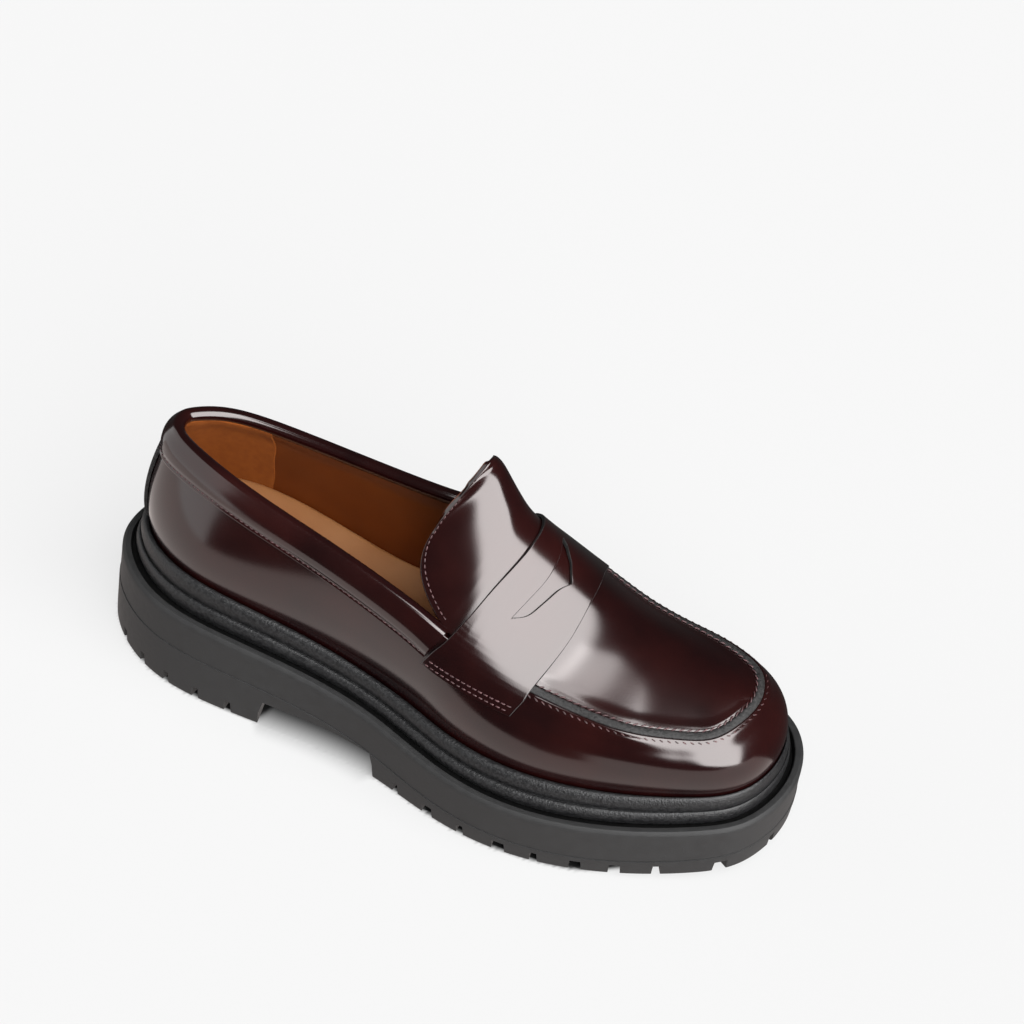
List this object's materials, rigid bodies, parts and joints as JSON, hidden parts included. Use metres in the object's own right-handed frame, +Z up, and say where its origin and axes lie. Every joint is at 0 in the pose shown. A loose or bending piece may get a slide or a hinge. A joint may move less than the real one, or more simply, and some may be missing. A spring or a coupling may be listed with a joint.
{
  "type": "chunky lug sole loafer",
  "caption": "Slip-on leather loafer with saddle strap, raised toe seam and tongue on a thick lugged rubber sole with block heel; the collar opens for the foot.",
  "frame": {"origin": "on the floor, at the middle of the bounding box seen from above", "axes": "+X along the shoe to the toe, +Y to the inner (medial) side of this right shoe, +Z up"},
  "size_m": [0.2738, 0.1058, 0.131],
  "materials": {
    "outsole": "matt charcoal moulded rubber",
    "welt": "matt black pebbled rubber",
    "insole": "tan sock lining, soft sheen",
    "upper": "high-shine oxblood leather",
    "plug_and_tongue": "high-shine oxblood leather",
    "strap": "high-shine oxblood leather",
    "collar_band": "high-shine oxblood leather",
    "backstay": "high-shine oxblood leather"
  },
  "bodies": {
    "root": {"outsole": "outsole", "welt": "welt", "insole": "insole", "upper": "upper", "plug_and_tongue": "plug_and_tongue", "strap": "strap", "collar_band": "collar_band", "backstay": "backstay"}
  },
  "joints": []
}
